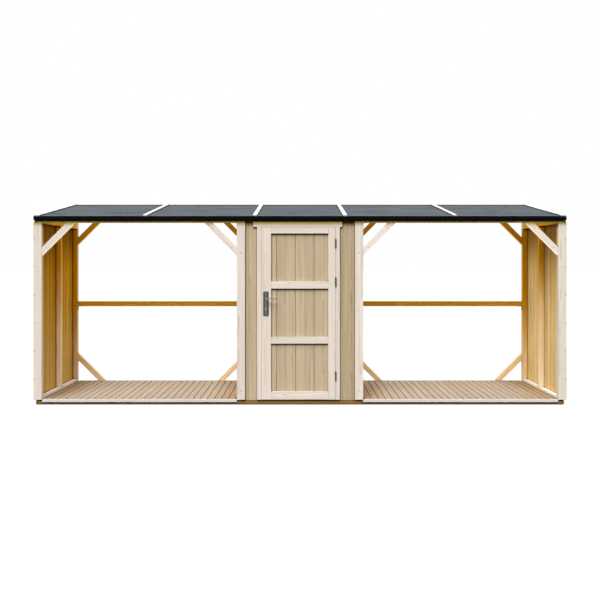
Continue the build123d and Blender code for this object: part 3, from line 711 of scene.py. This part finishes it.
joined("door_rails_planed", boards_from("door_rails"), planed, "planed_timber", "door_rails", body="door")


# Ironwork: zinc-plated steel hinges with loose pins, bent steel angle brackets, and a handle
# set of satin long plates, bright levers on a square spindle, and a lock cylinder.

def metal(name, colour, darker, rough, cell, middle_sheen=None):
    """Plated or brushed metal: a grey that shifts from cell to cell, as zinc crystals or the
    marks of polishing do, with its roughness shifted the same way. The handle's plate has
    a painted sheen down its middle."""
    material, tree, shader = plain(name, rough, 0.5, 1.0)
    place = add(tree, "TexCoord").outputs["Object"]
    mottle = noise(tree, place, cell, 3.0, 0.6)
    grey = tint(tree, ramp(tree, mottle, 0.35, 0.65), colour, darker)
    # Painted sheen: the plate is lighter down its middle.
    if middle_sheen:
        off = maths(tree, "SUBTRACT", add(tree, "SeparateXYZ", place).outputs[0], handle_x)
        off = maths(tree, "ABSOLUTE", off)
        grey = tint(tree, ramp(tree, off, 0.018, 0.006), grey, middle_sheen)
    tree.links.new(grey, shader.inputs["Base Color"])
    worn = ramp(tree, mottle, 0.3, 0.7, rough - 0.06, rough + 0.08)
    tree.links.new(worn, shader.inputs["Roughness"])
    return material


def finished(node, material):
    """Gives a frame node that keeps its own shape a finish."""
    mesh = nodes[node].data
    mesh.materials.clear()
    mesh.materials.append(material)


zinc = metal("zinc_plate", srgb(98, 87, 72), srgb(76, 67, 54), 0.42, 320.0)
satin = metal("satin_metal", srgb(68, 74, 76), srgb(56, 62, 64), 0.34, 500.0, srgb(106, 112, 111))
bright = metal("bright_metal", srgb(168, 160, 142), srgb(146, 139, 123), 0.3, 500.0)
for node in ("hinge_pins", "hinges_on_frame", "hinges_on_door", "angle_brackets"):
    finished(node, zinc)
finished("handle_plates", satin)
for node in ("lever_handles", "spindle", "lock_cylinder"):
    finished(node, bright)


# Roof: tongued boards from end to end over the rafters, five strips of mineral felt turned
# up against the battens that hold them, and dark boards along the front and back edges.

tilt = math.atan(roof_slope)
up_slope = np.array([0, math.cos(tilt), math.sin(tilt)])
thick = roof_board * math.cos(tilt)
lean = roof_board * math.sin(tilt)
foot = np.array([0, roof_low.y + lean, roof_low.z + lean * roof_slope])
run = (roof_high.y - roof_low.y - 2 * lean) / math.cos(tilt)
edges = [*np.arange(0, run - cover / 3, cover), run]
parts = []
for i, (left, right) in enumerate(zip(edges, edges[1:])):
    middle = (left + right) / 2
    outline = tongued(left, right, i == 0, i == len(edges) - 2, thick) - [middle, 0]
    start = foot + up_slope * middle
    parts.append(board(outline, start + [roof_low.x, 0, 0], start + [roof_high.x, 0, 0], up_slope))
joined("roof_boards_tongued", parts, framing, "frame_timber", "roof_boards")


def felt_ripple(x, y):
    """How far felt lies off its boards: three long waves that cross at odd angles."""
    wave_height = 0.0005
    waves = np.sin(9.1 * x + 3.3 * y) + np.sin(14.7 * y - 5.2 * x) + np.sin(23.0 * x + 1.0)
    return wave_height * waves


def felt_strip(low, high):
    """A strip between two battens: an outline across the strip, thin, with a turned-up edge
    and a round corner at each side, carried up the slope. Its upper face also follows the
    ripple between the corners, and dips no further than the deepest. It has no knots."""
    felt, upstand, bend, deepest = 0.003, 0.014, 0.008, -0.001
    turn = np.radians(np.linspace(0, 90, 5))
    curve_x = felt + bend - bend * np.sin(turn)[::-1]
    curve_h = felt + bend - bend * np.cos(turn)[::-1]
    flat = np.linspace(low[0] + felt + bend, high[0] - felt - bend, 24)[1:-1]
    x = np.concatenate([[low[0]], [low[0], low[0] + felt], low[0] + curve_x, flat,
                        high[0] - curve_x[::-1], [high[0] - felt, high[0]], [high[0]]])
    h = np.concatenate([[0], [upstand, upstand], curve_h, np.full(len(flat), felt),
                        curve_h[::-1], [upstand, upstand], [0]])
    edge = np.zeros(3 + len(turn))
    loose = np.concatenate([edge, np.ones(len(flat)), edge])
    y = np.linspace(low[1], high[1], 22)[:, None]
    base = low[2] + roof_slope * (y - low[1])
    z = base + h + loose * np.maximum(felt_ripple(x, y), deepest)
    grid = np.stack(np.broadcast_arrays(x, y, z), 2)
    n = len(x)
    points = grid.reshape(-1, 3)
    row = np.arange(len(y) - 1)[:, None] * n
    i, j = np.arange(n), np.roll(np.arange(n), -1)
    faces = np.stack([row + i, row + n + i, row + n + j, row + j], 2).reshape(-1, 4).tolist()
    faces += [list(range(n)), list(range(len(points) - n, len(points)))[::-1]]
    return points, faces, points, lot.uniform(), np.ones((2, 3))


def mineral_felt(name, colour, darker, paler, worn, edge):
    """Bitumen felt strewn with slate granules: each granule has a shade of its own, broad
    patches are a little darker where the granules lie thinner, the turned-up edges are
    black, as bitumen and as painted shade beside the battens, and the front edge has a
    painted highlight where the felt is folded."""
    material, tree, shader = plain(name, 0.85, 0.1)
    place = add(tree, "TexCoord").outputs["Object"]
    granule = add(tree, "TexVoronoi", place, None, 550.0)
    each = add(tree, "SeparateXYZ", granule.outputs["Color"]).outputs[0]
    patch = noise(tree, scaled(tree, place, (1.2, 4.0, 1.0)), 2.2, 5.0, 0.7)
    base = tint(tree, ramp(tree, patch, 0.3, 0.7), colour, darker)
    base = tint(tree, ramp(tree, each, 0.4, 1.0), base, paler)
    along = add(tree, "SeparateXYZ", place).outputs
    run = maths(tree, "SUBTRACT", along[1], front_y)
    # Painted highlight along the front edge where the felt folds.
    base = tint(tree, ramp(tree, run, 0.09, 0.05), base, worn)
    level = maths(tree, "ADD", maths(tree, "MULTIPLY", run, roof_slope), roof_low.z + roof_board)
    lift = maths(tree, "SUBTRACT", along[2], level)
    # Turned-up edges black, as bitumen and as painted shade beside the battens.
    base = tint(tree, ramp(tree, lift, 0.005, 0.008), base, edge)
    tree.links.new(base, shader.inputs["Base Color"])
    bump = add(tree, "Bump", 0.5, 0.0008, None, granule.outputs["Distance"])
    tree.links.new(bump.outputs[0], shader.inputs["Normal"])
    return material


slate = mineral_felt("mineral_felt", srgb(76, 82, 87), srgb(43, 49, 53), srgb(84, 90, 95),
                     srgb(77, 83, 87), srgb(18, 20, 22))
strips = [felt_strip(low, high) for low, high in boxes_of("roof_felt")]
joined("roof_felt_strips", strips, slate, "roof_felt", "roof_felt")


def sloping(node, material, slot):
    """Battens: a rectangle carried up the slope, with both ends cut upright."""
    made = []
    for low, high in boxes_of(node):
        wide, run = high[0] - low[0], high[1] - low[1]
        tall = high[2] - low[2] - roof_slope * run
        outline = eased(wide, tall * math.cos(tilt), 0.003)
        start = np.array([(low[0] + high[0]) / 2, low[1], low[2] + tall / 2])
        end = start + [0, run, roof_slope * run]
        made.append(board(outline, start, end, (1, 0, 0), (0, -roof_slope)))
    joined(f"{node}_planed", made, material, slot, node)


batten_wood = timber("pale_batten", srgb(199, 199, 198), srgb(180, 172, 158), grained=0.1, spread=0.01)
sloping("roof_battens", batten_wood, "pale_batten")


def dark_stain(name, colour, worn):
    """A nearly black finish on planed wood, with the grain just showing."""
    material, tree, shader = plain(name, 0.8, 0.03)
    grain = add(tree, "Attribute", attribute_name="grain").outputs["Vector"]
    streak = noise(tree, scaled(tree, grain, (2.0, 90.0, 90.0)), 1.0, 3.0, 0.6)
    stain = tint(tree, ramp(tree, streak, 0.4, 0.75), colour, worn)
    tree.links.new(stain, shader.inputs["Base Color"])
    return material


black = dark_stain("dark_fascia", srgb(8, 8, 8), srgb(15, 15, 15))
joined("fascias_stained", boards_from("fascias"), black, "dark_fascia", "fascias")


# Screws: zinc-plated countersunk heads, set just proud of the deck, the cover boards, the
# braces, the battens, the brackets and the handle's long plates.

def screw_heads(name, places, out, radius=0.004, body="root"):
    """Heads at places, one way out for each or for all. A head is a profile of how far out
    and how high, turned about its middle in eight steps: a sunk middle, a rim rounded over,
    and a skirt that ends in the wood. It is turned to face out and added to every place."""
    places = np.asarray(places, float).reshape(-1, 3)
    out = np.broadcast_to(np.asarray(out, float), places.shape)
    side = np.cross(out, [0.36, 0.48, 0.8])
    side = side / np.linalg.norm(side, axis=1, keepdims=True)
    other = np.cross(out, side)
    turn = np.radians(np.arange(0, 360, 45))
    n = len(turn)
    profile = np.array([(0.30, -0.05), (0.36, 0.10), (0.85, 0.14), (1.0, 0.05), (1.0, -0.3)]) * radius
    ring = side[:, None] * np.cos(turn)[:, None] + other[:, None] * np.sin(turn)[:, None]
    head = profile[:, None, :1] * ring[:, None] + profile[:, None, 1:] * out[:, None, None]
    points = places[:, None, None] + head
    each = np.arange(len(places))[:, None, None] * n * len(profile)
    row = np.arange(len(profile) - 1)[:, None] * n
    i, j = np.arange(n), np.roll(np.arange(n), -1)
    faces = np.stack([each + row + i, each + row + n + i, each + row + n + j, each + row + j], 3)
    last = n * (len(profile) - 1)
    sunk, foot = each[:, 0] + i, each[:, 0] + last + i[::-1]
    faces = faces.reshape(-1, 4).tolist() + sunk.tolist() + foot.tolist()
    in_place(name, points.reshape(-1, 3), faces, zinc, "steel", body=body)


up, ahead, rear = (0, 0, 1), (0, -1, 0), (0, 1, 0)
bearer_lines = [(low[1] + high[1]) / 2 for low, high in boxes_of("bearers")]
end_inset, side_inset = 0.012, 0.014
places = []
for part in ("left", "right", "cupboard"):
    for low, high in boxes_of(f"deck_boards_{part}"):
        for y in np.clip(bearer_lines, low[1] + end_inset, high[1] - end_inset):
            places += [(low[0] + side_inset, y, high[2]), (high[0] - side_inset, y, high[2])]
screw_heads("deck_screws", places, up, 0.0035)
post_heights, cupboard_heights = 0.263 + 0.289 * np.arange(6), (0.139, 1.565)
front_inset, back_inset = 0.012, 0.015
places, ways = [], []
for low, high in boxes_of("front_cover_boards"):
    at_end = abs(low[0]) > 1
    outer_x = low[0] + front_inset if low[0] < 0 else high[0] - front_inset
    x = outer_x if at_end else (low[0] + high[0]) / 2
    places += [(x, low[1], z) for z in (post_heights if at_end else cupboard_heights)]
    ways += [ahead] * (len(places) - len(ways))
for low, high in boxes_of("back_cover_boards"):
    sides = (low[0] + back_inset, high[0] - back_inset)
    places += [(x, high[1], z) for x in sides for z in post_heights]
    ways += [rear] * (len(places) - len(ways))
half_cut, runs = 0.032, (0.05, 0.25)
for node, way in (("front_braces", ahead), ("back_braces", rear)):
    for low, high in boxes_of(node):
        at_cupboard = abs(low[0] + high[0]) < 2
        post_x, far_x = sorted((low[0], high[0]), key=abs, reverse=not at_cupboard)
        y = low[1] if way == ahead else high[1]
        z, rise = (low[2], 1) if low[2] > 1 else (high[2], -1)
        for run in runs:
            x = post_x + math.copysign(run, far_x - post_x)
            places.append((x, y, z + rise * (half_cut + run)))
            ways.append(way)
screw_heads("trim_screws", places, ways, 0.005)
end_inset = 0.04
places = []
for low, high in boxes_of("roof_battens"):
    for run in np.linspace(end_inset, high[1] - low[1] - end_inset, 5):
        places.append(((low[0] + high[0]) / 2, high[1] - run, high[2] - roof_slope * run))
screw_heads("batten_screws", places, (0, -math.sin(tilt), math.cos(tilt)))
bracket_thick, along_rail, up_post = 0.0025, 0.035, 0.015
places, ways = [], []
for low, high in boxes_of("angle_brackets"):
    inward = 1 if (abs(low[0]) < 1) == (low[0] > 0) else -1
    post_x, y = low[0] if inward > 0 else high[0], (low[1] + high[1]) / 2
    places += [(post_x + inward * along_rail, y, high[2] - bracket_thick),
               (post_x + inward * bracket_thick, y, low[2] + up_post)]
    ways += [(0, 0, -1), (inward, 0, 0)]
screw_heads("bracket_screws", places, ways, 0.0032)
end_inset = 0.016
places, ways = [], []
for low, high in boxes_of("handle_plates"):
    way, y = (ahead, low[1]) if low[1] < front_y else (rear, high[1])
    places += [((low[0] + high[0]) / 2, y, z) for z in (low[2] + end_inset, high[2] - end_inset)]
    ways += [way, way]
screw_heads("handle_screws", places, ways, 0.0034, "door")


# Ground, light and camera: a white floor that runs to the skyline, one broad soft light from
# the upper left in front, and an even white sky. The camera sees the floor glow, but for a
# painted brown shadow under the bearers, and two fills light only some pieces.

def seen_direct(tree):
    """1 where a ray comes from the camera, or by a mirror or through glass, and else 0."""
    path = add(tree, "LightPath").outputs
    seen = maths(tree, "MAXIMUM", path["Is Camera Ray"], path["Is Glossy Ray"])
    return maths(tree, "MAXIMUM", seen, path["Is Transmission Ray"])


floor_half = 150.0
floor_mesh = bpy.data.meshes.new("floor")
floor_mesh.from_pydata([(-floor_half, -floor_half, 0), (floor_half, -floor_half, 0),
                        (floor_half, floor_half, 0), (-floor_half, floor_half, 0)], [], [(0, 1, 2, 3)])
floor = placed("floor", floor_mesh)
floor_material = bpy.data.materials.new("white_floor")
floor_material.use_nodes = True
tree = floor_material.node_tree
tree.nodes.remove(tree.nodes["Principled BSDF"])
# Under the object the floor loses its glow and gets a painted brown shadow.
white, dim = (1, 1, 1, 1), (0.04, 0.04, 0.04, 1)
bare, shaded = (0.09, 0.09, 0.09, 1), (0.14, 0.09, 0.045, 1)
shade_region_half_x, shade_region_half_y = 2.72, 0.555
place = add(tree, "SeparateXYZ", add(tree, "TexCoord").outputs["Object"]).outputs
behind = ramp(tree, place[1], roof_high.y - 0.1, roof_high.y + 0.5)
backdrop = add(tree, "Emission", white, behind).outputs[0]
real = add(tree, "BsdfDiffuse", dim).outputs[0]
real = add(tree, "AddShader", real, backdrop).outputs[0]
inside_x = maths(tree, "LESS_THAN", maths(tree, "ABSOLUTE", place[0]), shade_region_half_x)
off_middle = maths(tree, "ABSOLUTE", maths(tree, "SUBTRACT", place[1], wall_middle))
painted_shade_region = maths(tree, "MULTIPLY", inside_x, maths(tree, "LESS_THAN", off_middle, shade_region_half_y))
glow_share = maths(tree, "MULTIPLY", maths(tree, "SUBTRACT", 1.0, painted_shade_region), 0.9)
glow = add(tree, "Emission", white, glow_share).outputs[0]
shown = add(tree, "BsdfDiffuse", tint(tree, painted_shade_region, bare, shaded)).outputs[0]
shown = add(tree, "AddShader", shown, glow).outputs[0]
mixed = add(tree, "MixShader", seen_direct(tree), real, shown).outputs[0]
tree.links.new(mixed, tree.nodes["Material Output"].inputs["Surface"])
floor_mesh.materials.append(floor_material)

world = bpy.data.worlds.new("sky")
bpy.context.scene.world = world
world.use_nodes = True
tree = world.node_tree
toward = add(tree, "SeparateXYZ", add(tree, "TexCoord").outputs["Generated"]).outputs
low_light, zenith_light, backdrop_light = 0.1, 0.6, 1.1
sky_light = maths(tree, "MULTIPLY", maths(tree, "MAXIMUM", toward[2], 0.0), zenith_light)
sky_light = maths(tree, "ADD", sky_light, low_light)
sky_light = maths(tree, "ADD", sky_light, ramp(tree, toward[1], -0.1, 0.3, 0.0, backdrop_light))
strength = add(tree, "Mix", seen_direct(tree), None, sky_light, 1.0).outputs[0]
tree.links.new(strength, tree.nodes["Background"].inputs["Strength"])
tree.nodes["Background"].inputs["Color"].default_value = white

sun = bpy.data.lights.new("key", "SUN")
sun.energy = 4.55
sun.angle = math.radians(44)
key = placed("key", sun)
key.rotation_mode = "QUATERNION"
key.rotation_quaternion = Vector((0.3, 1.0, -1.5)).to_track_quat("-Z", "Y")

bounce = bpy.data.lights.new("floor_bounce", "AREA")
bounce.shape, bounce.size, bounce.size_y = "RECTANGLE", 5.6, 2.6
bounce_strength = 0.55
bounce.energy = bounce_strength * math.pi * bounce.size * bounce.size_y
card = placed("floor_bounce", bounce)
card.location = (0, front_y - 1.6, 0.01)
card.rotation_euler = (math.pi, 0, 0)
card.visible_camera = card.visible_glossy = card.visible_transmission = False
inner = bpy.data.collections.new("lit_by_the_floor")
bay_pieces = ("end_wall", "cupboard_wall", "back_", "front_braces", "deck_left", "deck_right")
for piece in bpy.context.scene.objects:
    if piece.name.startswith(bay_pieces):
        inner.objects.link(piece)
card.light_linking.receiver_collection = inner
underlight = bpy.data.lights.new("underlight", "SUN")
underlight.energy, underlight.use_shadow = 3.4, False
under = placed("underlight", underlight)
under.rotation_euler = (math.pi, 0, 0)
raised = bpy.data.collections.new("lit_from_below")
raised.objects.link(bpy.data.objects["front_braces_planed"])
under.light_linking.receiver_collection = raised

camera_data = bpy.data.cameras.new("camera")
camera = placed("camera", camera_data)
bpy.context.scene.camera = camera
photo_side, focal_pixels, skyline = 600, 635.2, 266.5
eye_height, eye_back = 1.423, 6.55
camera_data.sensor_width = 36.0
camera_data.lens = camera_data.sensor_width * focal_pixels / photo_side
camera_data.shift_y = (skyline - photo_side / 2) / photo_side
camera.location = (0, front_y - eye_back, eye_height)
camera.rotation_euler = (math.radians(90), 0, 0)
bpy.context.scene.view_settings.view_transform = "Standard"
